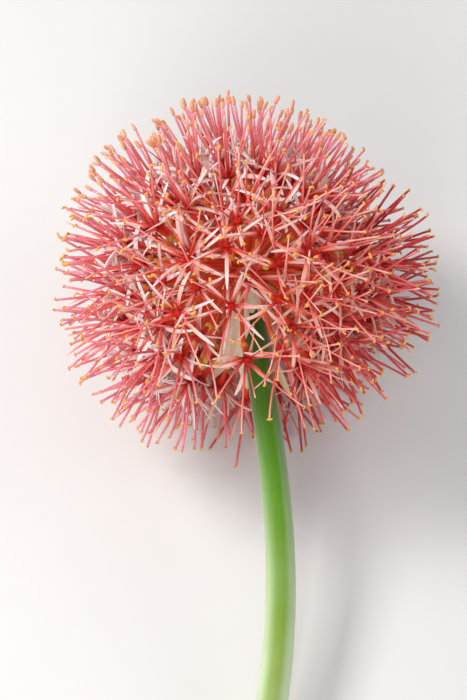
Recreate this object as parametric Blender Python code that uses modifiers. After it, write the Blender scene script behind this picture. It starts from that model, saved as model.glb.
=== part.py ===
"""A blood lily cut from its bulb and laid on a table: one scape, its spathe bracts and the umbel.

Run with: blender --background --python part.py
Metres, +Z up. The flower lies along Y with its head at +Y and its cut end at -Y. The origin is on
the table, under the middle of the flower's box. The scape slopes down from the head to its cut end,
and the stamens under the head are bent outwards by the head's weight.
"""

import math
import random

import bmesh
import bpy
from mathutils import Matrix, Vector

MM = 0.001

# Where the head lies
HEAD_CENTRE = Vector((0.0, 80.4, 70.0)) * MM
TABLE_CLEARANCE = 0.75 * MM  # height at which the centre line of a pressed stamen runs
PRESS_DEPTH = 7.0 * MM  # a stamen starts to turn aside this far above that height
PRESS_STEPS = 24
BENT_AT = (0.4, 0.7)  # where a bent filament has corners

# The scape, by distance from the head's centre along the flower
SCAPE_END = 241.0 * MM
SCAPE_TOP = 4.0 * MM
SCAPE_BOW = 13.6 * MM  # how far its middle bows to the side
SCAPE_BOW_SPAN = 220.0 * MM  # where the bow comes back to the flower's axis
SCAPE_BOW_SKEW = 1.2  # above 1, the bow is fullest past its middle
SCAPE_END_HEIGHT = 6.9 * MM  # of the centre line at the cut end
SCAPE_SAG = 0.2  # 0 is a straight slope down to the cut end
SCAPE_RADII = ((4.0, 6.9), (10.0, 6.3), (28.0, 5.5), (80.0, 6.2), (150.0, 6.6), (241.0, 7.0))
SCAPE_STATIONS = 22
SCAPE_RESOLUTION = 4  # 12 sides

# The umbel. Its florets are fewer and larger than on the real head, and cover it as they do there.
FLORET_COUNT = 44
BARE_CONE = math.radians(38.0)  # no floret points this near to the scape
DOME_PROFILE = ((-3.7, 7.0), (-1.0, 8.2), (2.5, 8.0), (5.5, 6.2), (7.8, 2.5))
DOME_RESOLUTION = 3  # 10 sides
DOME_FULL_TILT = math.radians(97.0)  # the lowest stalks leave the dome at this tilt
STALK_ROOT = 5.0 * MM
STALK_TURN = 14.0 * MM  # where the lowest stalks bend down past the rim of the dome
OVARY_REACH = 43.5 * MM
OVARY_LENGTH = 4.0 * MM
MOUTH_REACH = 54.0 * MM
STALK_RADIUS = 1.1 * MM
OVARY_RADIUS = 2.2 * MM
NECK_RADIUS = 1.3 * MM
MOUTH_RADIUS = 3.2 * MM

TEPALS = 6
TEPAL_WIDTH = 4.5 * MM  # where it leaves the mouth
TEPAL_REACH = 20.0 * MM  # from the floret's axis to its tip
TEPAL_RISE = 0.5 * MM
TEPAL_THICKNESS = 1.1 * MM

STAMENS = 4
STAMEN_LENGTH = 31.5 * MM
STAMEN_SPREAD = math.radians(34.0)
STAMEN_RING = 1.4 * MM
STAMEN_RADIUS = 0.8 * MM
ANTHER_LENGTH = 4.2 * MM
ANTHER_RADIUS = 1.4 * MM
ANTHER_TIP_RADIUS = 0.55 * MM
ROOT_DEPTH = 1.5 * MM  # how far below the mouth a stamen starts inside the tube

ANGLE_SCATTER = math.radians(7.0)
LENGTH_SCATTER = 0.08
SEED = 7

# The bracts of the spathe: bearing round the scape, spread from it at the tip, length and width
BRACT_START = 5.5 * MM  # distance from the head's centre along the flower
BRACT_THICKNESS = 0.7 * MM
BRACT_GAP = 0.3 * MM  # between its root and the scape
BRACT_ROOT = 0.55  # its width at the root, as a share of its full width
BRACT_TIP = 0.05
BRACT_STEPS = 8
BRACT_COLUMNS = 4
BRACTS = (
    ("spathe_bract_1", -138.0, 28.0, 36.0, 16.5),
    ("spathe_bract_2", 22.0, 6.0, 43.0, 9.0),
    ("spathe_bract_3", -38.0, 36.0, 33.0, 15.0),
    ("spathe_bract_4", 104.0, 24.0, 34.0, 12.0),
)


def clear_scene():
    for thing in list(bpy.data.objects):
        bpy.data.objects.remove(thing)


def new_collection(name):
    made = bpy.data.collections.new(name)
    bpy.context.scene.collection.children.link(made)
    return made


def new_material(name, colour, roughness):
    """A plain surface of one colour; nothing on a flower is metal."""
    made = bpy.data.materials.new(name)
    made.use_nodes = True
    shader = made.node_tree.nodes["Principled BSDF"]
    shader.inputs["Base Color"].default_value = (*colour, 1.0)
    shader.inputs["Roughness"].default_value = roughness
    shader.inputs["Metallic"].default_value = 0.0
    return made


def new_object(name, data, into, finish=None):
    thing = bpy.data.objects.new(name, data)
    into.objects.link(thing)
    if finish:
        data.materials.append(finish)
    return thing


def interpolated(table, place):
    """The value at a place in a table of (place, value) rows, along straight lines between them."""
    for (before, low), (after, high) in zip(table, table[1:]):
        if place <= after:
            return low + (high - low) * max(place - before, 0.0) / (after - before)
    return table[-1][1]


def scape_point(distance):
    """Centre line of the scape, a given distance from the head's centre along the flower."""
    share = distance / SCAPE_END
    bow = SCAPE_BOW * math.sin(math.pi * (max(distance, 0.0) / SCAPE_BOW_SPAN) ** SCAPE_BOW_SKEW)
    fall = 1.0 - (1.0 + SCAPE_SAG) * share + SCAPE_SAG * share**3
    height = SCAPE_END_HEIGHT + (HEAD_CENTRE.z - SCAPE_END_HEIGHT) * fall
    return Vector((HEAD_CENTRE.x + bow, HEAD_CENTRE.y - distance, height))


def scape_radius(distance):
    return interpolated(SCAPE_RADII, distance / MM) * MM


def axes_along(up):
    """Columns right, forward and up of a frame whose up is given and whose right is near +X."""
    right = Vector((1.0, 0.0, 0.0))
    right = (right - up * right.dot(up)).normalized()
    return Matrix((right, up.cross(right), up)).transposed()


def tilted(axes, tilt, turn):
    """The direction tilted by one angle from the frame's up and turned round it by another."""
    level = Vector((math.cos(turn), math.sin(turn), 0.0)) * math.sin(tilt)
    return axes @ (level + Vector((0.0, 0.0, math.cos(tilt))))


def curve_object(name, points, radii, into):
    """A straight-segmented curve through the points, with filled caps and a radius at each."""
    data = bpy.data.curves.new(name, "CURVE")
    data.dimensions = "3D"
    data.use_fill_caps = True
    spline = data.splines.new("POLY")
    spline.points.add(len(points) - 1)
    for point, place, radius in zip(spline.points, points, radii):
        point.co = (*place, 1.0)
        point.radius = radius
    return new_object(name, data, into)


def tube(name, points, radii, resolution, into):
    """A round tube; its radii are in metres."""
    made = curve_object(name, points, radii, into)
    made.data.bevel_depth = 1.0
    made.data.bevel_resolution = resolution
    return made


def strand(name, points, radii, profile, into):
    """A tube with another curve's outline as its section, kept level in its own frame."""
    made = curve_object(name, points, radii, into)
    made.data.bevel_mode = "OBJECT"
    made.data.bevel_object = profile
    made.data.twist_mode = "Z_UP"
    return made


def triangle_profile(name, into):
    """A three-sided section whose corners lie on a circle of radius 1."""
    data = bpy.data.curves.new(name, "CURVE")
    data.dimensions = "2D"
    spline = data.splines.new("POLY")
    spline.points.add(2)
    spline.use_cyclic_u = True
    for i, point in enumerate(spline.points):
        turned = math.tau * i / 3.0
        point.co = (math.sin(turned), math.cos(turned), 0.0, 1.0)
    made = new_object(name, data, into)
    made.hide_render = True
    made.display_type = "WIRE"
    return made


def as_mesh(curve):
    """Turns a curve object into a mesh object of the same name, place and finish, its caps welded on."""
    name = curve.name
    into = curve.users_collection[0]
    evaluated = curve.evaluated_get(bpy.context.evaluated_depsgraph_get())
    data = bpy.data.meshes.new_from_object(evaluated)
    mesh = bmesh.new()
    mesh.from_mesh(data)
    bmesh.ops.remove_doubles(mesh, verts=mesh.verts, dist=1e-6)
    bmesh.ops.recalc_face_normals(mesh, faces=mesh.faces)
    mesh.to_mesh(data)
    mesh.free()
    place = curve.matrix_world.copy()
    bpy.data.objects.remove(curve)
    made = new_object(name, data, into)
    made.matrix_world = place
    return made


def make_scape(into, finish):
    """The stem: a tapering tube from the receptacle to the plain cut end."""
    step = (SCAPE_END - SCAPE_TOP) / (SCAPE_STATIONS - 1)
    stations = [SCAPE_TOP + step * i for i in range(SCAPE_STATIONS)]
    points = [scape_point(d) for d in stations]
    radii = [scape_radius(d) for d in stations]
    made = tube("scape", points, radii, SCAPE_RESOLUTION, into)
    made.data.materials.append(finish)


def pressed(start, direction, length):
    """A stamen's path: straight, but bent outwards in a smooth arc where it would meet the table."""
    step = length / PRESS_STEPS
    outward = Vector((start.x - HEAD_CENTRE.x, start.y - HEAD_CENTRE.y, 0.0)).normalized()
    place = start.copy()
    points = [place.copy()]
    for _ in range(PRESS_STEPS):
        heading = direction.copy()
        if direction.z < 0.0:
            height = min(max((place.z - TABLE_CLEARANCE) / PRESS_DEPTH, 0.0), 1.0)
            free = math.sqrt(height)
            heading.z *= free
            heading += outward * (1.0 - free) * -direction.z
        place = place + heading.normalized() * step
        place.z = max(place.z, TABLE_CLEARANCE)
        points.append(place.copy())
    return points


def at_length(points, share):
    """The point a given share of the way along a path of even steps."""
    where = share * (len(points) - 1)
    first = min(int(where), len(points) - 2)
    return points[first].lerp(points[first + 1], where - first)


def make_stalk(name, axes, tilt, turn, into):
    """A floret's stalk, ovary and tube, from inside the dome out to the floret's mouth."""
    out = tilted(axes, tilt, turn)
    rooted = tilt * DOME_FULL_TILT / (math.pi - BARE_CONE)
    path = [(HEAD_CENTRE + tilted(axes, rooted, turn) * STALK_ROOT, STALK_RADIUS)]
    if tilt > DOME_FULL_TILT:
        bent = tilted(axes, (2.0 * rooted + tilt) / 3.0, turn)
        path.append((HEAD_CENTRE + bent * STALK_TURN, STALK_RADIUS))
    path.append((HEAD_CENTRE + out * (OVARY_REACH - 0.7 * OVARY_LENGTH), STALK_RADIUS))
    path.append((HEAD_CENTRE + out * OVARY_REACH, OVARY_RADIUS))
    path.append((HEAD_CENTRE + out * (OVARY_REACH + 0.8 * OVARY_LENGTH), NECK_RADIUS))
    path.append((HEAD_CENTRE + out * MOUTH_REACH, MOUTH_RADIUS))
    tube(name, [point for point, _ in path], [radius for _, radius in path], 0, into)


def make_tepals(name, placed, draw, into):
    """The floret's star: one thin sheet, a six-sided middle with a pointed arm on each side."""
    mesh = bmesh.new()
    bmesh.ops.create_circle(mesh, cap_ends=True, radius=TEPAL_WIDTH, segments=TEPALS)
    for edge in [e for e in mesh.edges if e.is_boundary]:
        outward = (edge.verts[0].co + edge.verts[1].co).normalized()
        reach = TEPAL_REACH * (1.0 + draw.uniform(-LENGTH_SCATTER, LENGTH_SCATTER))
        arm = bmesh.ops.extrude_edge_only(mesh, edges=[edge])
        ends = [g for g in arm["geom"] if isinstance(g, bmesh.types.BMVert)]
        tip = outward * reach + Vector((0.0, 0.0, TEPAL_RISE))
        bmesh.ops.pointmerge(mesh, verts=ends, merge_co=tip)
    bmesh.ops.recalc_face_normals(mesh, faces=mesh.faces)
    data = bpy.data.meshes.new(name)
    mesh.to_mesh(data)
    mesh.free()
    star = new_object(name, data, into)
    star.matrix_world = placed
    thick = star.modifiers.new("thickness", "SOLIDIFY")
    thick.thickness = TEPAL_THICKNESS
    thick.offset = 0.0


def make_stamen(name, start, direction, length, profile, into):
    """One filament with its anther, in the world's own frame so that the table can bend it."""
    path = pressed(start, direction, length)
    anther = ANTHER_LENGTH / length
    shape = [
        (0.0, STAMEN_RADIUS),
        (1.0 - anther, STAMEN_RADIUS),
        (1.0 - 0.5 * anther, ANTHER_RADIUS),
        (1.0, ANTHER_TIP_RADIUS),
    ]
    if path[-1].z <= TABLE_CLEARANCE + PRESS_DEPTH:
        shape[1:1] = [(share * (1.0 - anther), STAMEN_RADIUS) for share in BENT_AT]
    points = [at_length(path, share) for share, _ in shape]
    strand(name, points, [radius for _, radius in shape], profile, into)


def make_floret(number, axes, tilt, turn, draw, profile, into):
    """Stalk, tepals and stamens of one floret, which point away from the head's centre."""
    name = f"floret_{number:02d}"
    out = tilted(axes, tilt, turn)
    make_stalk(f"{name}_stalk", axes, tilt, turn, into)
    frame = axes_along(out) @ Matrix.Rotation(draw.uniform(0.0, math.tau), 3, "Z")
    mouth = HEAD_CENTRE + out * MOUTH_REACH
    placed = frame.to_4x4()
    placed.translation = mouth
    make_tepals(f"{name}_tepals", placed, draw, into)
    for i in range(STAMENS):
        turned = math.tau * (i + 0.5) / STAMENS + draw.uniform(-ANGLE_SCATTER, ANGLE_SCATTER)
        spread = STAMEN_SPREAD + draw.uniform(-ANGLE_SCATTER, ANGLE_SCATTER)
        length = STAMEN_LENGTH * (1.0 + draw.uniform(-LENGTH_SCATTER, LENGTH_SCATTER))
        start = mouth - out * ROOT_DEPTH + tilted(frame, math.pi / 2.0, turned) * STAMEN_RING
        make_stamen(f"{name}_stamen_{i}", start, tilted(frame, spread, turned), length, profile, into)


def floret_bearings(draw):
    """Tilt and turn of each floret: a golden-angle spiral over the sphere outside the bare cone."""
    golden = math.pi * (3.0 - math.sqrt(5.0))
    span = 1.0 + math.cos(BARE_CONE)
    for i in range(FLORET_COUNT):
        tilt = math.acos(1.0 - span * (i + 0.5) / FLORET_COUNT)
        yield tilt, golden * i + draw.uniform(-ANGLE_SCATTER, ANGLE_SCATTER) / 2.0


def make_umbel(into, finish):
    """The receptacle and every floret, fused into one body."""
    draw = random.Random(SEED)
    up = (scape_point(SCAPE_TOP) - scape_point(SCAPE_TOP + 20.0 * MM)).normalized()
    axes = axes_along(up)
    points = [HEAD_CENTRE + up * place * MM for place, _ in DOME_PROFILE]
    radii = [radius * MM for _, radius in DOME_PROFILE]
    dome = as_mesh(tube("umbel", points, radii, DOME_RESOLUTION, into))
    florets = new_collection("florets")
    outlines = new_collection("outlines")
    profile = triangle_profile("stamen_outline", outlines)
    for number, (tilt, turn) in enumerate(floret_bearings(draw)):
        make_floret(number, axes, tilt, turn, draw, profile, florets)
    for thing in list(florets.objects):
        if thing.type == "CURVE":
            as_mesh(thing)
    join = dome.modifiers.new("florets", "BOOLEAN")
    join.operation = "UNION"
    join.operand_type = "COLLECTION"
    join.collection = florets
    join.solver = "MANIFOLD"
    evaluated = dome.evaluated_get(bpy.context.evaluated_depsgraph_get())
    dome.data = bpy.data.meshes.new_from_object(evaluated)
    dome.modifiers.clear()
    dome.data.materials.clear()
    dome.data.materials.append(finish)
    for group in (florets, outlines):
        for thing in list(group.objects):
            bpy.data.objects.remove(thing)
        bpy.data.collections.remove(group)


def make_bract(name, bearing, spread, length, width, into, finish):
    """A thin oblong scale that leaves the scape under the head and spreads from it to its tip.

    A share s of the way along, it stands length tan(spread) s^1.6 clear of the scape, and its half
    width is width / 2 times (root + (1 - root) sin(pi s^1.3)) sqrt(1 - s^4). Its cross lines are arcs
    round a centre behind the scape's, so they follow the scape at the root and flatten towards the tip.
    """
    mesh = bmesh.new()
    rows = []
    for i in range(BRACT_STEPS + 1):
        share = i / BRACT_STEPS
        distance = BRACT_START + length * share
        up = (scape_point(distance) - scape_point(distance + MM)).normalized()
        axes = axes_along(up)
        lift = length * math.tan(spread) * share**1.6
        bow = scape_radius(distance) + BRACT_GAP + 3.0 * lift
        centre = scape_point(distance) - tilted(axes, math.pi / 2.0, bearing) * 2.0 * lift
        swell = BRACT_ROOT + (1.0 - BRACT_ROOT) * math.sin(math.pi * share**1.3)
        half = 0.5 * width * max(swell * math.sqrt(1.0 - share**4), BRACT_TIP)
        row = []
        for j in range(BRACT_COLUMNS + 1):
            aside = (2.0 * j / BRACT_COLUMNS - 1.0) * half / bow
            row.append(mesh.verts.new(centre + tilted(axes, math.pi / 2.0, bearing + aside) * bow))
        rows.append(row)
    for row, beyond in zip(rows, rows[1:]):
        for j in range(BRACT_COLUMNS):
            mesh.faces.new((beyond[j], beyond[j + 1], row[j + 1], row[j]))
    data = bpy.data.meshes.new(name)
    mesh.to_mesh(data)
    mesh.free()
    data.shade_smooth()
    made = new_object(name, data, into, finish)
    thick = made.modifiers.new("thickness", "SOLIDIFY")
    thick.thickness = BRACT_THICKNESS
    thick.offset = 1.0


def main():
    clear_scene()
    flower = new_collection("blood_lily")
    green = new_material("scape_green", (0.32, 0.47, 0.14), 0.5)
    red = new_material("floret_red", (0.62, 0.07, 0.09), 0.55)
    cream = new_material("bract_cream", (0.72, 0.60, 0.42), 0.75)
    make_scape(flower, green)
    make_umbel(flower, red)
    for name, bearing, spread, length, width in BRACTS:
        make_bract(name, math.radians(bearing), math.radians(spread), length * MM, width * MM, flower, cream)


main()
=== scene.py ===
"""Blood lily: the visible pieces of a cut bloom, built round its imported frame.

Metres, in the frame's own axes: +Z up, the flower lying along Y with its head at +Y.
"""

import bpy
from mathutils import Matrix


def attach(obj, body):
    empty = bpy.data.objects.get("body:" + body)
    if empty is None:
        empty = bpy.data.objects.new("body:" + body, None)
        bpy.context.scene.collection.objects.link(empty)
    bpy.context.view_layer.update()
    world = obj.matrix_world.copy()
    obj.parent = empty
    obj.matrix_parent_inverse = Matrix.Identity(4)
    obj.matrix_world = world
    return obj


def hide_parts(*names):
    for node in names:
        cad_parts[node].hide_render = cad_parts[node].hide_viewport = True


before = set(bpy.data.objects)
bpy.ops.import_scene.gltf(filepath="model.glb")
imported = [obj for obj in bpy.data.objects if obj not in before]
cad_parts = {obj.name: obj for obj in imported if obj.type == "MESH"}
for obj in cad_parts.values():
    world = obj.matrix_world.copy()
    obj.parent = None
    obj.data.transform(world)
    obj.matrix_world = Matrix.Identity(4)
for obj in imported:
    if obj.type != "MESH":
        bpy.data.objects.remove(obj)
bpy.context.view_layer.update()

import math
from types import SimpleNamespace

import bpy
import numpy as np
from mathutils import Matrix, Vector

bl_info = {
    "name": "Blood lily",
    "version": (1, 0, 0),
    "blender": (4, 5, 0),
    "location": "3D View > Sidebar > Blood lily",
    "description": "Builds a cut blood lily: scape, papery bracts and a round umbel of florets",
    "category": "Add Mesh",
}

MM = 0.001
SEED = 11

# The same lines and sizes as the solids have
HEAD_CENTRE = np.array((0.0, 80.4, 70.0)) * MM
SCAPE_END = 241.0 * MM
SCAPE_TOP = 4.0 * MM
SCAPE_BOW = 13.6 * MM
SCAPE_BOW_SPAN = 220.0 * MM
SCAPE_BOW_SKEW = 1.2
SCAPE_END_HEIGHT = 6.9 * MM
SCAPE_SAG = 0.2
SCAPE_RADII = np.array(
    ((4.0, 6.9), (10.0, 6.3), (28.0, 5.5), (80.0, 6.2), (150.0, 6.6), (241.0, 7.0))
) * MM
BARE_CONE = math.radians(38.0)
DOME_PROFILE = np.array(((-3.7, 7.0), (-1.0, 8.2), (2.5, 8.0), (5.5, 6.2), (7.8, 2.5))) * MM
DOME_FULL_TILT = math.radians(97.0)
BRACT_START = 5.5 * MM
BRACT_GAP = 0.3 * MM
BRACT_ROOT = 0.55
COLLAR_START = 4.6 * MM
PRESS_DEPTH = 7.0 * MM

# Least heights over the table: of the scape's skin and of a strand's corners, then of the middles
# of tepals, filaments and anthers
SCAPE_CLEAR, CORNER_CLEAR = 0.02 * MM, 0.08 * MM
TEPAL_CLEAR, FILAMENT_CLEAR, ANTHER_CLEAR = 0.9 * MM, 0.6 * MM, 0.85 * MM

# Direction of the camera from the head, and the two axes of its picture
ELEVATION = math.radians(60.0)
VIEW_RIGHT = np.array((1.0, 0.0, 0.0))
VIEW_UP = np.array((0.0, math.sin(ELEVATION), math.cos(ELEVATION)))
TOWARD = np.array((0.0, -math.cos(ELEVATION), math.sin(ELEVATION)))

# Florets on the near side: offset to the right and upwards as shares of the mouths' reach, openness
SEEN_FLORETS = np.array((
    (-0.16, 0.26, 1.0), (-0.45, 0.15, 1.0), (-0.68, 0.40, 1.0), (-0.46, 0.53, 1.0),
    (-0.40, 0.76, 0.9), (-0.08, 0.43, 0.9), (-0.74, 0.57, 1.0), (-0.22, 0.95, 0.9),
    (-0.90, 0.29, 1.0), (-0.98, 0.05, 1.0), (0.12, 0.36, 1.0), (0.19, 0.80, 0.9),
    (0.08, 0.88, 0.9), (0.45, 0.21, 1.0), (0.62, 0.22, 1.0), (0.88, 0.23, 1.0),
    (0.24, 0.96, 0.3), (-0.55, 0.82, 0.3), (-0.14, -0.22, 1.0), (-0.50, -0.24, 1.0),
    (-0.79, -0.21, 1.0), (-0.84, -0.36, 1.0), (-0.66, -0.54, 1.0), (-0.53, -0.58, 1.0),
    (-0.93, -0.11, 1.0), (-0.01, -0.64, 1.0), (0.23, -0.15, 1.1), (0.46, -0.11, 1.0),
    (0.33, -0.36, 1.0), (0.97, -0.14, 1.0), (0.75, -0.33, 1.0), (0.47, -0.69, 1.0),
    (0.74, -0.52, 1.0),
))
# Spots on the near side that the florets leave free, where the bracts and the scape show
OPEN_SPOTS = np.array((
    (-0.21, -0.42), (-0.27, -0.34), (-0.20, -0.55), (-0.30, -0.74), (-0.24, -0.90), (0.10, -0.41),
    (0.12, -0.56), (0.46, -0.52), (0.60, -0.74),
))
# Hollows in the head's outline: offset to the right and upwards, share of the reach lost there
HOLLOWS = ((0.77, 0.64, 0.16), (0.26, 0.97, 0.08), (0.67, -0.74, 0.18), (-0.24, -0.97, 0.16))
HOLLOW_EDGE = math.cos(math.radians(26.0))
# Least and most share of the reach that sunk florets lose, and those behind the seen ones
SUNK_DEPTHS, BEHIND_DEPTHS = (0.16, 0.32), (0.05, 0.28)
# Spread of the florets' reach, as a share of it, and how far it may go down and up
REACH_SPREAD, REACH_LIMITS = 0.035, (-0.08, 0.07)
# Which side of the head is palest, partly the florets' own colour and partly painted light on the
# side the key lamp lights: to the right, upwards and towards the camera
PALE_SIDE_AND_PAINTED_LIGHT = (-0.84, 0.46, 0.2)
# A floret less open than this is a bud, with unripe anthers on short filaments
BUD = 0.5

# Name, tone, bearing and spread in degrees, length and width in mm, and wave of each bract
BRACTS = (
    ("spathe_bract_1", 0.1, -138.0, 28.0, 36.0, 16.5, 0.5),
    ("spathe_bract_2", 0.8, 22.0, 6.0, 43.0, 9.0, 0.3),
    ("spathe_bract_3", 0.9, -38.0, 36.0, 33.0, 15.0, 0.6),
    ("spathe_bract_4", 0.4, 104.0, 24.0, 34.0, 12.0, 0.5),
)

PARTS_OF_SIX = 6
STRAND_PLACES = np.array((0.0, 0.03, 0.13, 0.26, 0.4, 0.55, 0.7, 0.85, 0.97, 1.0))
TEPAL_PLACES = np.array((0.0, 0.02, 0.12, 0.25, 0.4, 0.55, 0.7, 0.84, 0.94, 0.985, 1.0))
MAP_MARGIN = 0.06


def unit(vectors):
    """Vectors scaled to length 1."""
    return vectors / np.linalg.norm(vectors, axis=-1, keepdims=True)


def dot(first, second):
    """Scalar product along the last axis, which stays."""
    return np.sum(first * second, axis=-1, keepdims=True)


def square_to(heading, vectors):
    """The part of each vector that is square to the heading, scaled to 1."""
    return unit(vectors - heading * dot(heading, vectors))


def turned(angle, first, second):
    """Directions at an angle from the first towards the second: cos first + sin second."""
    return np.cos(angle) * first + np.sin(angle) * second


def in_view(aside, above, toward):
    """A direction or step along the picture's right, along its up and towards the camera."""
    return aside * VIEW_RIGHT + above * VIEW_UP + toward * TOWARD


def eased(value, low, high):
    """0 up to low and 1 from high on, and 3 t^2 - 2 t^3 between them."""
    share = np.clip((value - low) / (high - low), 0.0, 1.0)
    return share * share * (3.0 - 2.0 * share)


def stacked(*parts):
    """Parts of a like shape, or that can be repeated to it, side by side on a new last axis."""
    return np.stack(np.broadcast_arrays(*parts), axis=-1)


def bearings(sides):
    """The angles of a regular section's corners."""
    return math.tau * np.arange(sides) / sides


def circle(sides):
    """Corners of a regular section of radius 1, as distances along its two axes."""
    return stacked(np.cos(bearings(sides)), np.sin(bearings(sides)))


def scape_point(distance):
    """Centre line of the scape at distances from the head's centre along the flower.

    It falls from the head's height to the cut end's by a straight slope less a cubic sag, and bows
    to the side by a skewed half wave.
    """
    distance = np.asarray(distance, float)
    share = distance / SCAPE_END
    wave = (np.maximum(distance, 0.0) / SCAPE_BOW_SPAN) ** SCAPE_BOW_SKEW
    fall = 1.0 - (1.0 + SCAPE_SAG) * share + SCAPE_SAG * share**3
    height = SCAPE_END_HEIGHT + (HEAD_CENTRE[2] - SCAPE_END_HEIGHT) * fall
    side = HEAD_CENTRE[0] + SCAPE_BOW * np.sin(math.pi * wave)
    return stacked(side, HEAD_CENTRE[1] - distance, height)


def scape_radius(distance):
    """Radius of the scape, along straight lines between its measured places."""
    return np.interp(distance, SCAPE_RADII[:, 0], SCAPE_RADII[:, 1])


def scape_axes(distance):
    """Right, forward and up of the scape's sections: up points to the head, right is near +X."""
    up = unit(scape_point(distance) - scape_point(np.asarray(distance) + MM))
    right = square_to(up, np.broadcast_to(VIEW_RIGHT, up.shape))
    return right, np.cross(up, right), up


def marched(start, headings, steps, clearance):
    """Paths that take a step along each heading in turn, all strands at once.

    Within the press depth of the table a heading that points down loses its fall, by the square
    root of the height left, and turns away from the head by as much, so that the strand lies down.
    """
    points = [start]
    for heading, step in zip(np.moveaxis(headings, 1, 0), np.moveaxis(steps, 1, 0)):
        here = points[-1]
        free = np.sqrt(np.clip((here[:, 2:] - clearance) / PRESS_DEPTH, 0.0, 1.0))
        drop = np.minimum(heading[:, 2:], 0.0)
        away = unit((here - HEAD_CENTRE) * (1.0, 1.0, 0.0) + 1e-9)
        lifted = heading + away * (1.0 - free) * -drop
        lifted[:, 2:] -= drop * (1.0 - free)
        here = here + unit(lifted) * step[:, None]
        here[:, 2] = np.maximum(here[:, 2], clearance)
        points.append(here)
    return np.stack(points, axis=1)


def bezier(first, second, third, fourth, places):
    """Cubic Bezier curves through four points each, at shares of the way along."""
    t = places[None, :, None]
    ends = (1.0 - t) ** 3 * first[:, None] + t**3 * fourth[:, None]
    return ends + 3.0 * t * (1.0 - t) * ((1.0 - t) * second[:, None] + t * third[:, None])


def framed(points, beside):
    """Paths, and two directions square to them at each station: one as near as can be to beside,
    and the path's heading crossed with it."""
    heading = unit(np.gradient(points, axis=1))
    wide = square_to(heading, np.broadcast_to(beside, points.shape))
    return points, wide, np.cross(heading, wide)


def new_piece(name, points, faces, fields, material, slot, *nodes):
    """One smooth object on the root body.

    Its faces are given by their corners in a row, the number of each one's corners, and the
    corners' places on the bake map. A field has a number or a vector for each point.
    """
    corners, sizes, on_map = faces
    mesh = bpy.data.meshes.new(name)
    mesh.vertices.add(len(points))
    mesh.vertices.foreach_set("co", points.ravel())
    mesh.loops.add(len(corners))
    mesh.loops.foreach_set("vertex_index", corners)
    mesh.polygons.add(len(sizes))
    mesh.polygons.foreach_set("loop_start", np.cumsum(sizes) - sizes)
    mesh.polygons.foreach_set("use_smooth", np.ones(len(sizes), bool))
    mesh.uv_layers.new(name="OFBake").data.foreach_set("uv", on_map.ravel())
    for field, values in fields.items():
        kind, part = ("FLOAT_VECTOR", "vector") if values.ndim == 3 else ("FLOAT", "value")
        mesh.attributes.new(field, kind, "POINT").data.foreach_set(part, values.ravel())
    mesh.materials.append(material)
    mesh.update(calc_edges=True)
    mesh.validate()
    piece = bpy.data.objects.new(name, mesh)
    bpy.context.scene.collection.objects.link(piece)
    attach(piece, "root")
    if nodes:
        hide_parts(*nodes)


def strand_faces(count, stations, sides):
    """Corners, sizes and bake map of the faces of many closed strands.

    Levels run from a strand's root pole at 0 by its rings to its tip pole at stations + 1, and
    places run round it. Rings join by four-sided faces and the ends close on the poles. Each
    strand has a cell of its own on the map, with its places along u and its levels up v.
    """
    first = np.arange(count)[:, None] * (stations * sides + 2)
    columns = math.ceil(math.sqrt(count))
    cell = stacked(np.arange(count) % columns, np.arange(count) // columns)[:, None]
    made = []
    for places, levels, start in (
        ((0, 1, 1, 0), (0, 0, 1, 1), np.arange(1, stations)),  # between the rings
        ((0.5, 1, 0), (0, 1, 1), np.array((0,))),  # to the root's pole
        ((0.5, 0, 1), (1, 0, 0), np.array((stations,))),  # to the tip's pole
    ):
        place, level = np.broadcast_arrays(
            np.arange(sides)[:, None] + places, start[:, None, None] + levels
        )
        on_ring = (level - 1) * sides + place % sides
        pole = stations * sides + (level > stations)
        corner = np.where((level < 1) | (level > stations), pole, on_ring).astype(int).ravel()
        spot = stacked(place / sides, level / (stations + 1)).reshape(-1, 2)
        on_map = (cell + MAP_MARGIN + (1.0 - 2.0 * MAP_MARGIN) * spot) / columns
        size = np.full(count * corner.size // len(places), len(places))
        made.append(((first + corner).ravel(), size, on_map.reshape(-1, 2)))
    return [np.concatenate(part) for part in zip(*made)]


def spread_field(values, shape):
    """A field's values at every ring corner, and their ring means at both ends."""
    values = np.broadcast_to(values, shape + np.shape(values)[3:])
    ends = values[:, (0, -1)].mean(axis=2)
    return np.concatenate((values.reshape(shape[0], -1, *values.shape[3:]), ends), axis=1)


def new_tube(name, rings, ends, fields, material, slot, *nodes):
    """A piece of many closed strands, from ring corners (strand, station, side) and end points."""
    shape = rings.shape[:3]
    points = np.concatenate((rings.reshape(shape[0], -1, 3), ends), axis=1).reshape(-1, 3)
    fields = {field: spread_field(values, shape) for field, values in fields.items()}
    new_piece(name, points, strand_faces(*shape), fields, material, slot, *nodes)


def new_strands(name, path, outline, fields, finish):
    """A piece of the florets, from paths whose first and last stations are the strands' poles.

    The outline gives each section corner's distances along the path's two square directions.
    """
    points, wide, deep = path
    across, down = outline[..., :1] * wide[:, 1:-1, None], outline[..., 1:] * deep[:, 1:-1, None]
    rings = points[:, 1:-1, None] + across + down
    rings[..., 2] = np.maximum(rings[..., 2], CORNER_CLEAR)
    new_tube(name, rings, points[:, (0, -1)], fields, finish, "florets", "umbel")


def pushed_apart(fixed, free, down, rounds=90):
    """Free unit vectors moved apart, all at once, a little each round.

    Each steps away from every other by the sum of difference / distance^4, at most a twentieth,
    and back to the rim of the bare cone round down where it has strayed inside.
    """
    rim = math.cos(BARE_CONE)
    for _ in range(rounds):
        everyone = np.concatenate((fixed, free))
        gap = free[:, None] - everyone[None]
        push = np.sum(gap / (dot(gap, gap) + 1e-6) ** 2, axis=1)
        size = np.linalg.norm(push, axis=1, keepdims=True)
        free = unit(free + push / size * np.minimum(0.0004 * size, 0.05))
        into = dot(free, np.broadcast_to(down, free.shape))
        held = down * rim + square_to(down, free) * math.sin(BARE_CONE)
        free = np.where(into > rim, held, free)
    return free


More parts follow.
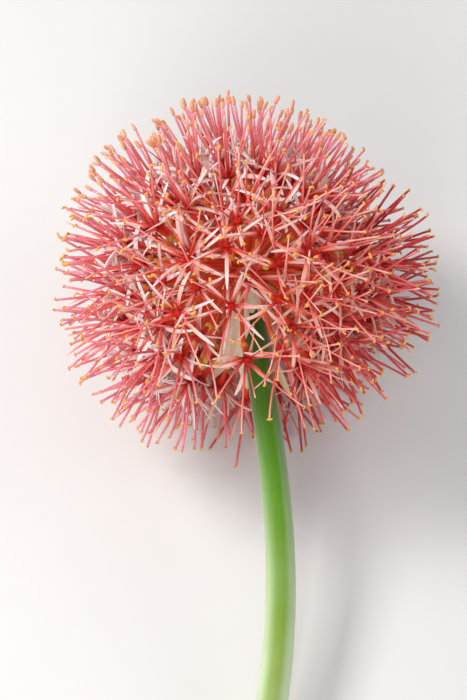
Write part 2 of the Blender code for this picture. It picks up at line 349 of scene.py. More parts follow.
def floret_directions(count, up):
    """Unit vectors from the head's centre: the seen florets, and golden-angle ones for the rest."""
    flat = np.concatenate((SEEN_FLORETS[:, :2], OPEN_SPOTS))
    depth = np.sqrt(np.maximum(1.0 - np.sum(flat**2, axis=1), 0.02))
    held = unit(in_view(flat[:, :1], flat[:, 1:], depth[:, None]))
    seen = held[:len(SEEN_FLORETS)]
    number = np.arange(count)
    tilt = np.arccos(1.0 - (1.0 + math.cos(BARE_CONE)) * (number + 0.5) / count)[:, None]
    turn = (math.pi * (3.0 - math.sqrt(5.0)) * number)[:, None]
    right = square_to(up, VIEW_RIGHT)
    level = turned(turn, right, np.cross(up, right))
    spiral = np.sin(tilt) * level + np.cos(tilt) * up
    kept = np.ones(count, bool)
    for direction in seen:
        kept[np.argmax(np.where(kept, spiral @ direction, -2.0))] = False
    return np.concatenate((seen, pushed_apart(held, spiral[kept], -up)))


def grown_head(sizes):
    """Every floret's place, axes and variations, the same on each call."""
    draw = np.random.default_rng(SEED)
    count = sizes.floret_count
    up = unit(scape_point(SCAPE_TOP) - scape_point(SCAPE_TOP + 20.0 * MM))
    out = floret_directions(count, up)
    axis = unit(out + draw.normal(0.0, sizes.unevenness, (count, 3)))
    facing = (out @ TOWARD) ** 2
    behind = draw.uniform(*BEHIND_DEPTHS, count) * facing
    picked = draw.uniform(0.0, 1.0, count) < sizes.sunk_share
    inward = np.maximum(behind, np.where(picked, draw.uniform(*SUNK_DEPTHS, count), 0.0))
    inward[:len(SEEN_FLORETS)] = 0.0
    for aside, above, depth in HOLLOWS:
        inward = inward + depth * eased(out @ in_view(aside, above, 0.0), HOLLOW_EDGE, 1.0)
    stray = draw.normal(0.0, REACH_SPREAD, count).clip(*REACH_LIMITS)
    mouth = HEAD_CENTRE + out * (sizes.mouth_reach * (1.0 - inward + stray)[:, None])
    openness = np.concatenate((SEEN_FLORETS[:, 2], np.ones(count - len(SEEN_FLORETS))))
    openness *= 0.74 + 0.56 * facing + draw.normal(0.0, 0.06, count)
    twist = draw.uniform(0.0, math.tau, count)
    right = square_to(axis, np.roll(axis, 1, axis=1) + 0.3)
    # painted light and shade, partly the florets' own colour: florets towards the picture's upper
    # left, where the key lamp shines, are made paler, and those towards the lower right ruddier
    pale = dot(out, unit(in_view(*PALE_SIDE_AND_PAINTED_LIGHT)))[:, 0]
    flush = np.clip(1.0 - eased(pale, -0.75, 0.35) + draw.normal(0.0, 0.08, count), 0.0, 1.0)
    young = eased(out @ unit(up - 0.15 * VIEW_RIGHT), 0.3, 0.85)
    ripe = np.clip(1.0 - young + draw.normal(0.0, 0.12, count), 0.0, 1.0)
    ripe[openness < BUD] = 0.0
    return SimpleNamespace(
        count=count, every=np.arange(count), up=up, out=out, axis=axis, mouth=mouth,
        openness=openness, twist=twist, right=right, fore=np.cross(axis, right), flush=flush,
        ripe=ripe, ovary=mouth - axis * sizes.tube_length, facing=facing,
        spread=openness * (1.0 - 0.45 * young), slender=1.0 - 0.47 * facing,
    )


def sixes(head, draw, wander):
    """Six bearings round each floret's axis: the axis, the direction outwards and the one aside."""
    number = np.arange(head.count * PARTS_OF_SIX)
    floret = number // PARTS_OF_SIX
    turn = head.twist[floret] + math.tau * (number % PARTS_OF_SIX) / PARTS_OF_SIX
    turn = (turn + draw.normal(0.0, wander, len(number)))[:, None]
    outward = turned(turn, head.right[floret], head.fore[floret])
    axis = head.axis[floret]
    return floret, axis, outward, np.cross(axis, outward)


def curled_paths(start, axis, outward, aside, begin, finish, sway, length, places, clearance):
    """Paths whose angle from the axis goes from begin to finish, in proportion to the way along.

    Headings are cos(angle) axis + sin(angle) outward, leaning aside by sway times the way along.
    The first of their two square directions is aside.
    """
    middle = ((places[1:] + places[:-1]) / 2.0)[None, :, None]
    angle = begin[:, None, None] + (finish - begin)[:, None, None] * middle
    heading = turned(angle, axis[:, None], outward[:, None])
    heading = unit(heading + sway[:, None, None] * (middle - 0.25) * aside[:, None])
    points = marched(start, heading, length[:, None] * np.diff(places)[None], clearance)
    return framed(points, aside[:, None])


def own_fields(places, head, floret, draw):
    """The fields that every strand of the head carries: the way along, and its own variations."""
    own = {
        # flush: painted light and shade together with the florets' own ruddiness
        "tone": draw.uniform(0.0, 1.0, len(floret)), "flush": head.flush[floret],
        # front: share of the floret pointing to or from the camera; it carries painted light on the
        # filaments and painted shade on the tepals
        "front": head.facing[floret], "ripe": head.ripe[floret],
    }
    fields = {field: values[:, None, None] for field, values in own.items()}
    return {"along": places[None, 1:-1, None], **fields}


class Paint:
    """A procedural material being put together, with its Principled shader."""

    def __init__(self, name, **sockets):
        self.material = bpy.data.materials.new(name)
        self.material.use_nodes = True
        self.tree = self.material.node_tree
        self.shader = self.tree.nodes["Principled BSDF"]
        for socket, value in sockets.items():
            self.shader.inputs[socket.replace("_", " ")].default_value = value

    def node(self, kind, inputs=None, **settings):
        """A node with its settings made, and its inputs linked or filled in."""
        made = self.tree.nodes.new(kind)
        for setting, value in settings.items():
            setattr(made, setting, value)
        for socket, value in (inputs or {}).items():
            if isinstance(value, bpy.types.NodeSocket):
                self.tree.links.new(value, made.inputs[socket])
            else:
                made.inputs[socket].default_value = value
        return made

    def fields(self, *names):
        """Some of the piece's own attributes."""
        kind = "ShaderNodeAttribute"
        return [self.node(kind, attribute_name=name).outputs["Fac"] for name in names]

    def ramp(self, factor, *stops):
        """Colours along a factor, each as (place, colour)."""
        made = self.node("ShaderNodeValToRGB", {"Fac": factor})
        elements = made.color_ramp.elements
        while len(elements) < len(stops):
            elements.new(0.5)
        for element, (place, colour) in zip(elements, stops):
            element.position = place
            element.color = (*colour, 1.0)
        return made.outputs["Color"]

    def mix(self, factor, *colours):
        """Two colours mixed by a factor."""
        first, second = (
            colour if isinstance(colour, bpy.types.NodeSocket) else (*colour, 1.0)
            for colour in colours
        )
        inputs = {0: factor, 6: first, 7: second}
        return self.node("ShaderNodeMix", inputs, data_type="RGBA").outputs[2]

    def over(self, colour, other, value, low, high, most=1.0):
        """A colour that gives way to another, by up to the most, as a number goes up."""
        return self.mix(self.ranged(value, low, high, 0.0, most), colour, other)

    def math(self, operation, first, second=0.0, third=0.0):
        """One sum, product or other operation on numbers."""
        inputs = {0: first, 1: second, 2: third}
        return self.node("ShaderNodeMath", inputs, operation=operation).outputs[0]

    def ranged(self, value, low, high, to_low=0.0, to_high=1.0):
        """A number carried smoothly from one range to another."""
        inputs = {"Value": value, 1: low, 2: high, 3: to_low, 4: to_high}
        return self.node("ShaderNodeMapRange", inputs, interpolation_type="SMOOTHSTEP").outputs[0]

    def place(self):
        """The piece's own coordinates."""
        return self.node("ShaderNodeTexCoord").outputs["Object"]

    def noise(self, scale, detail=3.0, stretch=None):
        """Noise on Object coordinates, or stretched on the piece's own field named grain."""
        if stretch:
            grain = self.node("ShaderNodeAttribute", attribute_name="grain").outputs["Vector"]
            place = self.node("ShaderNodeMapping", {"Vector": grain, "Scale": stretch}).outputs[0]
        else:
            place = self.place()
        inputs = {"Vector": place, "Scale": scale, "Detail": detail}
        return self.node("ShaderNodeTexNoise", inputs).outputs["Fac"]

    def cells(self, scale):
        """Distance to the middle of the nearest of many scattered cells."""
        inputs = {"Vector": self.place(), "Scale": scale}
        return self.node("ShaderNodeTexVoronoi", inputs).outputs["Distance"]

    def finished(self, colour, roughness=None, height=None, strength=0.3, depth=0.1 * MM):
        """Links the colour, the roughness and the bump, and gives the material."""
        self.tree.links.new(colour, self.shader.inputs["Base Color"])
        if roughness:
            self.tree.links.new(roughness, self.shader.inputs["Roughness"])
        if height:
            inputs = {"Height": height, "Strength": strength, "Distance": depth}
            bump = self.node("ShaderNodeBump", inputs)
            self.tree.links.new(bump.outputs[0], self.shader.inputs["Normal"])
        return self.material


def flesh(name, weight, roughness, reach=1.2 * MM, radius=(1.0, 0.35, 0.25), **sockets):
    """A paint for moist plant tissue: light enters it a little way and comes out redder."""
    return Paint(
        name, Roughness=roughness, Subsurface_Weight=weight, Subsurface_Scale=reach,
        Subsurface_Radius=radius, **sockets
    )


def tepal_finish(colours):
    """Red at the root, then salmon, then pale pink to white, with a paler midrib and fine veins."""
    paint = flesh("tepal_skin", weight=0.45, roughness=0.42)
    along, across, tone, flush, front = paint.fields("along", "across", "tone", "flush", "front")
    root, red, warm, pale = colours.throat, colours.filament, colours.tepal_warm, colours.tepal_pale
    rosy = paint.ramp(along, (0.1, root), (0.2, red), (0.34, warm), (0.75, pale))
    white = paint.ramp(along, (0.06, root), (0.1, red), (0.18, pale), (0.3, colours.tepal_white))
    # painted light and shade mixed with the tepals' own colour: the flush and the share facing the
    # camera make tepals white on the lit upper left and rosy on the shaded lower right and front
    ruddy = paint.math("MULTIPLY_ADD", tone, 0.5, -0.25)
    ruddy = paint.math("MULTIPLY_ADD", front, 0.75, ruddy)
    colour = paint.mix(paint.math("ADD", flush, ruddy), white, rosy)
    rib = paint.ranged(paint.math("ABSOLUTE", across), 0.0, 0.32, 0.45, 0.0)
    rib = paint.math("MULTIPLY", rib, paint.ranged(along, 0.12, 0.4))
    colour = paint.over(paint.mix(rib, colour, pale), warm, flush, 0.6, 1.0, most=0.35)
    veins = paint.noise(5.0, 2.0, (1.0, 0.12, 1.0))
    colour = paint.over(colour, warm, veins, 0.45, 0.75, most=0.3)
    rough = paint.ranged(veins, 0.3, 0.7, 0.5, 0.34)
    return paint.finished(colour, rough, veins, strength=0.35, depth=0.12 * MM)


def filament_finish(colours):
    """Deep red at the root, then coral, then salmon or pink at the tip.

    The ruddiest side is red all along, partly the florets' own colour and partly painted shade, and
    filaments that point towards or away from the camera fade to cream at their tips, a painted
    highlight.
    """
    paint = flesh("filament_skin", weight=0.2, roughness=0.26)
    along, tone, flush, front = paint.fields("along", "tone", "flush", "front")
    root, coral, pink = (0.07, colours.throat), colours.filament, colours.filament_tip
    deep = paint.ramp(along, root, (0.25, coral), (0.7, coral), (1.0, pink))
    rose, pale = colours.filament_rose, colours.filament_pale
    light = paint.ramp(along, root, (0.18, coral), (0.42, rose), (1.0, pale))
    # painted shade mixed with the filaments' own colour: the flush makes filaments on the shaded
    # lower right deep red
    ruddy = paint.math("ADD", flush, paint.math("MULTIPLY_ADD", tone, 0.5, -0.25))
    colour = paint.mix(ruddy, light, deep)
    colour = paint.over(colour, colours.filament_deep, ruddy, 0.65, 1.0, most=0.95)
    # painted highlight: filaments of florets pointing to or from the camera fade to salmon and
    # cream, as if lit from the front
    salmon, cream = colours.filament_salmon, colours.filament_cream
    painted_light_ramp = paint.ramp(along, root, (0.24, coral), (0.5, salmon), (1.0, cream))
    painted_light_mask = paint.math("MULTIPLY_ADD", tone, 0.3, front)
    colour = paint.over(colour, painted_light_ramp, painted_light_mask, 0.35, 0.95, most=0.85)
    mottle = paint.noise(900.0, 2.0)
    colour = paint.over(colour, pink, mottle, 0.4, 0.7, most=0.18)
    rough = paint.ranged(mottle, 0.3, 0.7, 0.32, 0.2)
    return paint.finished(colour, rough, mottle, strength=0.15, depth=0.05 * MM)


def style_finish(colours):
    """As a filament, but with a long pale end."""
    paint = flesh("style_skin", weight=0.2, roughness=0.36)
    root, coral, pink = colours.throat, colours.filament, colours.filament_tip
    (along,) = paint.fields("along")
    colour = paint.ramp(along, (0.05, root), (0.35, coral), (0.8, pink), (0.97, colours.tepal_pale))
    mottle = paint.noise(900.0, 2.0)
    colour = paint.over(colour, pink, mottle, 0.4, 0.7, most=0.15)
    return paint.finished(colour, None, mottle, strength=0.2, depth=0.05 * MM)


def anther_finish(colours):
    """Peach orange while fresh, golden with pollen once ripe, and a dark line along each side."""
    paint = flesh("anther_skin", weight=0.15, roughness=0.6)
    ripe, around, tone = paint.fields("ripe", "around", "tone")
    grain = paint.noise(2600.0, 3.0)
    fresh = paint.over(colours.anther_fresh, colours.anther_pale, tone, 0.0, 1.0, most=0.6)
    ripened = paint.over(colours.anther_ripe, colours.pollen, grain, 0.4, 0.65, most=0.7)
    colour = paint.over(fresh, ripened, ripe, 0.25, 0.6)
    seam = paint.ranged(paint.math("ABSOLUTE", around), 0.0, 0.3, 0.55, 0.0)
    colour = paint.mix(seam, colour, colours.anther_seam)
    rough = paint.ranged(grain, 0.3, 0.7, 0.75, 0.5)
    return paint.finished(colour, rough, grain, strength=0.5, depth=0.12 * MM)


def tube_finish(colours):
    """Orange at the ovary and red from there to a deep red mouth, with six faint ribs."""
    paint = flesh("tube_skin", weight=0.15, roughness=0.7, Specular_IOR_Level=0.15)
    along, ribs = paint.fields("along", "ribs")
    blush, red, mouth = colours.ovary_blush, colours.filament, colours.throat
    colour = paint.ramp(along, (0.0, blush), (0.16, red), (0.5, colours.tube), (0.8, mouth))
    colour = paint.over(colour, red, ribs, 0.3, 1.0, most=0.3)
    mottle = paint.noise(700.0, 3.0)
    colour = paint.over(colour, mouth, mottle, 0.45, 0.7, most=0.25)
    return paint.finished(colour, None, mottle, strength=0.25, depth=0.08 * MM)


def ovary_finish(colours):
    """Yellow green, blushed with orange on one side and towards the tube, and shiny."""
    paint = flesh("ovary_skin", weight=0.25, roughness=0.28)
    along, tone = paint.fields("along", "tone")
    blush = colours.ovary_blush
    colour = paint.over(colours.ovary, blush, paint.noise(260.0, 2.0), 0.4, 0.62, most=0.8)
    colour = paint.over(colour, blush, along, 0.55, 1.0, most=0.8)
    colour = paint.over(colour, colours.tube, tone, 0.5, 1.0, most=0.35)
    return paint.finished(colour, None, paint.noise(1500.0, 2.0), strength=0.15, depth=0.06 * MM)


def stalk_finish(colours):
    """Greenish cream at the receptacle and under the ovary, and red brown between them."""
    paint = flesh("stalk_skin", weight=0.2, roughness=0.42)
    along, tone = paint.fields("along", "tone")
    root, middle = (0.0, colours.stalk_green), colours.stalk
    green = paint.ramp(along, root, (0.25, middle), (0.88, middle), (1.0, colours.ovary))
    red = paint.ramp(along, root, (0.15, middle), (0.9, colours.tube))
    colour = paint.over(green, red, tone, 0.2, 0.8)
    streak = paint.noise(6.0, 3.0, (1.0, 1.0, 0.2))
    colour = paint.over(colour, colours.stalk_green, streak, 0.5, 0.75, most=0.25)
    return paint.finished(colour, None, streak, strength=0.25, depth=0.1 * MM)


def scape_finish(colours):
    """Green under the head, paler towards the cut end, with patches of waxy bloom and fine
    lengthwise streaks, and a painted highlight in the bloom's colour along both flanks, to the left
    and right of the picture, growing towards the cut end.

    The cut itself shows a pale pith with darker bundles in it and a rim that has dried a little.
    """
    paint = flesh(
        "scape_skin", weight=0.12, roughness=0.42, reach=2.5 * MM, Specular_IOR_Level=0.3,
        Sheen_Weight=0.6, Sheen_Roughness=0.35,
    )
    along, cut, flank = paint.fields("along", "cut", "flank")
    skin = paint.ramp(
        along, (0.12, colours.scape_dark), (0.34, colours.scape), (0.64, colours.scape_pale),
        (1.0, colours.scape_end),
    )
    streaks = paint.noise(9.0, 4.0, (1.0, 1.0, 0.08))
    skin = paint.over(skin, colours.scape_pale, streaks, 0.4, 0.75, most=0.12)
    dark = paint.noise(24.0, 3.0, (1.0, 1.0, 0.06))
    skin = paint.over(skin, colours.scape_dark, dark, 0.55, 0.8, most=0.14)
    bloom = paint.noise(30.0, 3.0)
    skin = paint.over(skin, colours.wax_and_painted_highlight, bloom, 0.4, 0.8, most=0.08)
    # painted highlight: the flanks to the picture's left and right are painted pale as if lit from
    # both sides, unevenly by the bloom noise
    uneven = paint.ranged(bloom, 0.2, 0.8, 0.9, 1.1)
    flank = paint.math("MULTIPLY", paint.math("ABSOLUTE", flank), uneven)
    painted_edge_light = paint.ranged(flank, 0.25, 0.95, 0.0, 0.72), paint.ranged(along, 0.14, 0.7, 0.1)
    skin = paint.mix(paint.math("MULTIPLY", *painted_edge_light), skin, colours.wax_and_painted_highlight)
    bundles = paint.ranged(paint.cells(620.0), 0.12, 0.3, 0.6, 0.0)
    inner = paint.mix(bundles, colours.pith, colours.scape)
    inner = paint.mix(paint.ranged(cut, 0.05, 0.3, 0.7, 0.0), inner, colours.scape_dried)
    colour = paint.over(skin, inner, cut, 0.0, 0.04)
    height = paint.math("MULTIPLY_ADD", streaks, 0.6, paint.math("MULTIPLY", dark, 0.4))
    rough = paint.ranged(bloom, 0.35, 0.7, 0.34, 0.52)
    return paint.finished(colour, rough, height, strength=0.4, depth=0.25 * MM)


def bract_finish(colours):
    """Dry cream paper with fine lengthwise veins, tan at the edges and towards the tip."""
    paint = flesh(
        "bract_skin", weight=0.4, roughness=0.75, reach=2.0 * MM, radius=(1.0, 0.9, 0.7)
    )
    along, across, tone = paint.fields("along", "across", "tone")
    tan, vein = colours.bract_tan, colours.bract_vein
    body = paint.ramp(along, (0.0, colours.bract), (0.7, colours.bract), (1.0, tan))
    blush = paint.ranged(tone, 0.4, 1.0, 0.0, 0.9), paint.ranged(along, 0.1, 0.5, 0.2)
    body = paint.mix(paint.math("MULTIPLY", *blush), body, colours.bract_blush)
    body = paint.over(body, tan, paint.math("ABSOLUTE", across), 0.8, 1.0, most=0.4)
    veins = paint.noise(11.0, 3.0, (1.0, 0.08, 1.0))
    body = paint.over(body, vein, veins, 0.53, 0.63, most=0.5)
    fleck = paint.noise(260.0, 2.0)
    body = paint.over(body, vein, fleck, 0.62, 0.75, most=0.3)
    rough = paint.ranged(fleck, 0.3, 0.7, 0.85, 0.6)
    return paint.finished(body, rough, veins, strength=0.6, depth=0.3 * MM)


def dome_finish(colours):
    """The receptacle: red brown between the greenish cream rims that the stalks stand in."""
    paint = flesh("dome_skin", weight=0.15, roughness=0.5)
    cells = paint.cells(420.0)
    rims = paint.ranged(cells, 0.3, 0.6, 0.8, 0.1)
    colour = paint.mix(rims, colours.receptacle, colours.stalk_green)
    return paint.finished(colour, None, cells, strength=0.6, depth=0.4 * MM)


def make_scape(colours):
    """A tube of round sections on the scape's centre line, closed by the cut across its lower end.

    Its radius wavers by 0.6% five times round and by 0.4% three times round, and the cut's rings
    draw in to its middle by the shares in inward, dished by as much as is in dished.
    """
    sides, stations = 40, 110
    share = np.linspace(0.0, 1.0, stations)
    ridge = 0.006 * np.sin(5.0 * bearings(sides) + 9.0 * share[:, None])
    ridge += 0.004 * np.sin(3.0 * bearings(sides) + 31.0 * share[:, None])
    distance = SCAPE_TOP + (SCAPE_END - SCAPE_TOP) * share
    body = scape_radius(distance)[:, None] * (1.0 + ridge - 0.008)
    inward = np.array((0.985, 0.95, 0.88, 0.7, 0.5, 0.3, 0.12))
    dished = np.array((0.0, 0.22, 0.3, 0.22, 0.05, -0.1, -0.16)) * MM
    distance = np.concatenate((distance, np.full(len(inward), SCAPE_END)))
    radius = np.concatenate((body, body[-1] * inward[:, None]))
    centre = scape_point(distance)
    right, fore, up = scape_axes(np.minimum(distance, SCAPE_END - MM))
    for axis in (right, fore, up):
        axis[stations:] = axis[stations - 1]
    centre[stations:] -= up[stations:] * dished[:, None]
    outline = circle(sides) * radius[..., None]
    rings = centre[:, None] + outline[..., :1] * right[:, None] - outline[..., 1:] * fore[:, None]
    rings[..., 2] = np.maximum(rings[..., 2], SCAPE_CLEAR)
    ends = np.stack((centre[0] + up[0] * MM, centre[-1]))[None]
    around = circle(sides)[None] * radius[0].mean()
    grain = stacked(around[..., 0], around[..., 1], distance[:, None]) / (10.0 * MM)
    fields = {
        "along": ((distance - SCAPE_TOP) / (SCAPE_END - SCAPE_TOP))[None, :, None],
        "cut": np.concatenate((np.zeros(stations), 1.0 - inward))[None, :, None],
        # flank: how far a corner faces the picture's left or right; it carries the painted flank
        # highlight
        "flank": circle(sides)[None, None, :, 0],
        "grain": grain[None],
    }
    new_tube("scape_skin", rings[None], ends, fields, scape_finish(colours), "scape", "scape")


def make_bract(name, finish, tone, bearing, spread, length, width, wave):
    """A thin oblong scale that leaves the scape under the head and spreads from it to its tip.

    A share s of the way along it stands length tan(spread) s^1.6 clear of the scape, and its half
    width is width / 2 times (root + (1 - root) sin(pi s^1.3)) sqrt(1 - s^4). Its cross lines are
    arcs that follow the scape at the root and flatten towards the tip. Ribs run along it, its
    edges wave, and its end is ragged.
    """
    stations, columns = 40, 26
    share = np.linspace(0.0, 1.0, stations)[:, None]
    across = np.cos(np.linspace(0.0, math.pi, columns + 1))
    loop = np.concatenate((across, across[::-1]))[None]
    outer = np.repeat((1.0, 0.0), columns + 1)[None]
    distance = BRACT_START + length * share[:, 0]
    right, fore, _ = scape_axes(distance)
    lift = length * math.tan(spread) * share**1.6
    bow = scape_radius(distance)[:, None] + BRACT_GAP + 3.0 * lift
    centre = scape_point(distance) - turned(bearing, right, fore) * 2.0 * lift
    swell = BRACT_ROOT + (1.0 - BRACT_ROOT) * np.sin(math.pi * share**1.3)
    half = 0.5 * width * np.maximum(swell * np.sqrt(1.0 - share**4), 0.03)
    half = half * (1.0 + 0.03 * np.sin(share * 31.0 + bearing) + 0.02 * np.sin(share * 67.0))
    turn = bearing + loop * half / bow
    thickness = (0.16 + 0.4 * (1.0 - share)) * MM * (1.0 - 0.75 * np.abs(loop) ** 4)
    ribs = 0.16 * MM * np.cos(loop * 29.0 + 0.6 * np.sin(share * 5.0))
    ribs = ribs * np.sin(math.pi * share) ** 0.5
    edge = wave * MM * np.sin(share * 17.0 + loop * 2.0 + tone * 9.0) * loop**2 * share
    curl = 2.2 * MM * share**4 - 0.9 * MM * loop**2 * share * (1.0 - share)
    reach = bow + ribs + edge + curl + outer * thickness
    spoke = turned(turn[..., None], right[:, None], fore[:, None])
    rings = centre[:, None] + spoke * reach[..., None]
    tip = rings[-1].mean(axis=0) - MM * unit(rings[-2] - rings[-1]).mean(axis=0)
    grain = stacked(loop * half / MM / 4.0, share * length / MM / 4.0, tone * 40.0)
    fields = {
        "along": share[None], "across": loop[None], "tone": np.full((1, 1, 1), tone),
        "grain": grain[None],
    }
    ends = np.stack((rings[0].mean(axis=0), tip))[None]
    new_tube(f"{name}_paper", rings[None], ends, fields, finish, "bract", name)


def make_collar(finish):
    """The joined bases of the bracts: a thin sleeve on the scape's top with a ragged lower edge.

    The edge lies at a length that wavers with the bearing b as 8.5 + 2.2 cos(4b + 1) + 1.1 cos(9b)
    millimetres from the sleeve's start, and the sleeve stands a little clear of the scape there.
    """
    sides, columns = 56, 9
    turn = bearings(sides)
    length = (8.5 + 2.2 * np.cos(4.0 * turn + 1.0) + 1.1 * np.cos(9.0 * turn)) * MM
    down = np.linspace(0.0, 1.0, columns)
    share = np.concatenate((down, down[::-1]))[:, None]
    outer = np.repeat((0.0, 1.0), columns)[:, None]
    distance = COLLAR_START + share * length
    right, fore, _ = scape_axes(distance)
    thickness = 0.3 * MM * (1.0 - 0.8 * share**6)
    ribs = 0.07 * MM * np.cos(28.0 * turn) * np.sin(math.pi * share)
    clear = 0.12 * MM + 0.5 * MM * share**3
    reach = (scape_radius(distance) + clear + ribs + outer * thickness)[..., None]
    points = (scape_point(distance) + turned(turn[:, None], right, fore) * reach).reshape(-1, 3)
    rows = 2 * columns
    place, level = np.broadcast_arrays(
        np.arange(sides)[:, None] + (0, 1, 1, 0), np.arange(rows)[:, None, None] + (0, 0, 1, 1)
    )
    corners = (level % rows * sides + place % sides).ravel()
    faces = corners, np.full(rows * sides, 4), stacked(place / sides, level / rows)
    names = ("along", "across", "tone")
    values = (0.15 + 0.6 * share**2, 0.6 * np.cos(4.0 * turn), 0.3)
    fields = {name: np.broadcast_to(part, distance.shape) for name, part in zip(names, values)}
    fields["grain"] = stacked(turn[None] * 6.5 / 4.0, distance / MM / 4.0, 9.0)
    new_piece("spathe_collar", points, faces, fields, finish, "bract")


def make_receptacle(head, finish):
    """The swollen top of the scape: a profile turned about the head's axis, with low bumps."""
    sides, stations = 28, 16
    share = np.linspace(0.0, 1.0, stations)
    knots = np.linspace(0.0, 1.0, len(DOME_PROFILE))
    height, radius = (np.interp(share, knots, part)[:, None] for part in DOME_PROFILE.T)
    right = square_to(head.up, VIEW_RIGHT)
    centre = HEAD_CENTRE + height * head.up
    bumps = 1.0 + 0.03 * np.sin(7.0 * bearings(sides) + np.arange(stations)[:, None] * 2.1)
    outline = circle(sides) * (radius * bumps)[..., None]
    fore = np.cross(head.up, right)
    rings = centre[:, None] + outline[..., :1] * right + outline[..., 1:] * fore
    ends = np.stack((centre[0] - head.up * 0.4 * MM, centre[-1] + head.up * 0.5 * MM))[None]
    along = {"along": share[None, :, None]}
    new_tube("receptacle", rings[None], ends, along, finish, "florets", "umbel")


def make_stalks(head, sizes, finish):
    """Stalks on cubic Bezier paths that leave the receptacle bunched and reach their ovaries."""
    draw = np.random.default_rng(SEED + 1)
    rooted_at, into_ovary, leaving_by, arriving_by = 5.5 * MM, 1.2 * MM, 13.0 * MM, 11.0 * MM
    tilt = np.arccos(np.clip(head.out @ head.up, -1.0, 1.0))[:, None]
    rooted = tilt * DOME_FULL_TILT / (math.pi - BARE_CONE)
    leaving = turned(rooted, head.up, square_to(head.up, head.out))
    root = HEAD_CENTRE + leaving * rooted_at
    end = head.ovary - head.axis * into_ovary
    points = bezier(
        root, root + leaving * leaving_by, end - head.axis * arriving_by, end, STRAND_PLACES
    )
    share = STRAND_PLACES[1:-1]
    outline = circle(7)
    radius = sizes.stalk_thickness / 2.0 * (1.12 - 0.24 * np.sin(math.pi * share) + 0.12 * share)
    fields = own_fields(STRAND_PLACES, head, head.every, draw)
    length = (share * 8.0)[None, :, None] + fields["tone"] * 30.0
    fields["grain"] = stacked(outline[:, 0], outline[:, 1], length)
    path = framed(points, head.right[:, None])
    new_strands("pedicels", path, outline * radius[:, None, None], fields, finish)


def make_ovaries(head, finish):
    """Balls with three faint lobes: sections of sqrt(1 - t^2), wavering three times round."""
    draw = np.random.default_rng(SEED + 2)
    sides, half_length, full_radius = 9, 1.8 * MM, 1.65 * MM
    t = np.array((-1.0, -0.94, -0.7, -0.3, 0.15, 0.55, 0.85, 0.97, 1.0))
    points = head.ovary[:, None] + head.axis[:, None] * (t * half_length)[None, :, None]
    radius = full_radius * np.sqrt(1.0 - t[1:-1] ** 2)
    lobes = 1.0 + 0.05 * np.cos(3.0 * bearings(sides))
    outline = circle(sides) * (radius[:, None] * lobes)[..., None]
    sideways = (np.broadcast_to(way[:, None], points.shape) for way in (head.right, head.fore))
    fields = own_fields((t + 1.0) / 2.0, head, head.every, draw)
    new_strands("ovaries", (points, *sideways), outline, fields, finish)


def make_tubes(head, sizes, finish):
    """Narrow tubes that swell and flare to a mouth, filled by the domed bases of the filaments."""
    draw = np.random.default_rng(SEED + 3)
    sides, start = 12, 1.2 * MM
    share = np.array((0.0, 0.02, 0.12, 0.35, 0.6, 0.8, 0.92, 0.97, 1.0, 1.02, 1.035, 1.04))
    radius = np.array((0.9, 1.0, 1.12, 1.25, 1.4, 1.5, 1.6, 1.6, 1.3, 0.8)) * MM
    reach = start + share * (sizes.tube_length - start)
    points = head.ovary[:, None] + head.axis[:, None] * reach[None, :, None]
    ribs = np.cos(6.0 * bearings(sides))
    outline = circle(sides) * (radius[:, None] * (1.0 + 0.05 * ribs))[..., None]
    wide = turned(head.twist[:, None, None], head.right[:, None], head.fore[:, None])
    wide = np.broadcast_to(wide, points.shape)
    path = points, wide, np.cross(head.axis[:, None], wide)
    fields = own_fields(share, head, head.every, draw)
    fields["ribs"] = ribs[None, None]
    new_strands("tubes", path, outline, fields, finish)


def make_tepals(head, sizes, finish):
    """Lance-shaped blades that spread from the mouth and arch back, hollowed along the middle.

    A blade's half width is 0.7 + 0.3 sin(pi s^0.8) of its full half width, closed by
    sqrt(1 - s^8) at its tip. Its edges stand above its middle by a share of the half width. Blades
    are broadest round the rim of the head as it is seen, most of all on its pale side.
    """
    draw = np.random.default_rng(SEED + 4)
    floret, axis, outward, aside = sixes(head, draw, wander=0.07)
    count = len(floret)
    openness = head.openness[floret]
    begin = np.radians(62.0 + draw.normal(0.0, 9.0, count)) * openness.clip(0.25, 1.1)
    arch = np.radians(30.0 + draw.normal(0.0, 24.0, count)) * openness.clip(0.2, 1.1)
    length = sizes.tepal_length * (1.0 + draw.normal(0.0, 0.05, count))
    start = head.mouth[floret] - axis * 1.0 * MM + outward * 1.15 * MM
    sway = draw.normal(0.0, 0.28, count)
    points, wide, deep = curled_paths(
        start, axis, outward, aside, begin, begin + arch, sway, length, TEPAL_PLACES, TEPAL_CLEAR
    )
    twist = draw.normal(0.0, 0.6, count)[:, None, None] * TEPAL_PLACES[None, :, None]
    path = points, turned(twist, wide, deep), turned(twist, deep, -wide)
    share = TEPAL_PLACES[1:-1]
    half = (0.7 + 0.3 * np.sin(math.pi * share**0.8)) * np.sqrt(1.0 - share**8)
    rim = 1.0 - head.facing[floret]
    broad = 0.74 + 0.34 * rim + 0.34 * rim * (1.0 - head.flush[floret])
    broad = broad * (1.0 + draw.normal(0.0, 0.1, count).clip(-0.2, 0.2))
    half = (half * (sizes.tepal_width / 2.0 * broad)[:, None])[..., None]
    hollow = (0.2 + 0.3 * draw.uniform(0.0, 1.0, count))[:, None, None] * half
    thick = ((0.3 - 0.12 * share) * MM)[:, None]
    side = np.array((1.0, 0.45, -0.45, -1.0, -0.45, 0.45))
    face = np.array((0.0, 0.5, 0.5, 0.0, -0.5, -0.5))
    outline = stacked(half * side, hollow * side**2 + thick * face)
    fields = own_fields(TEPAL_PLACES, head, floret, draw)
    fields["across"] = side[None, None]
    fields["grain"] = stacked(side * 1.5, fields["along"] * 9.0, fields["tone"] * 60.0)
    new_strands("tepals", path, outline, fields, finish)


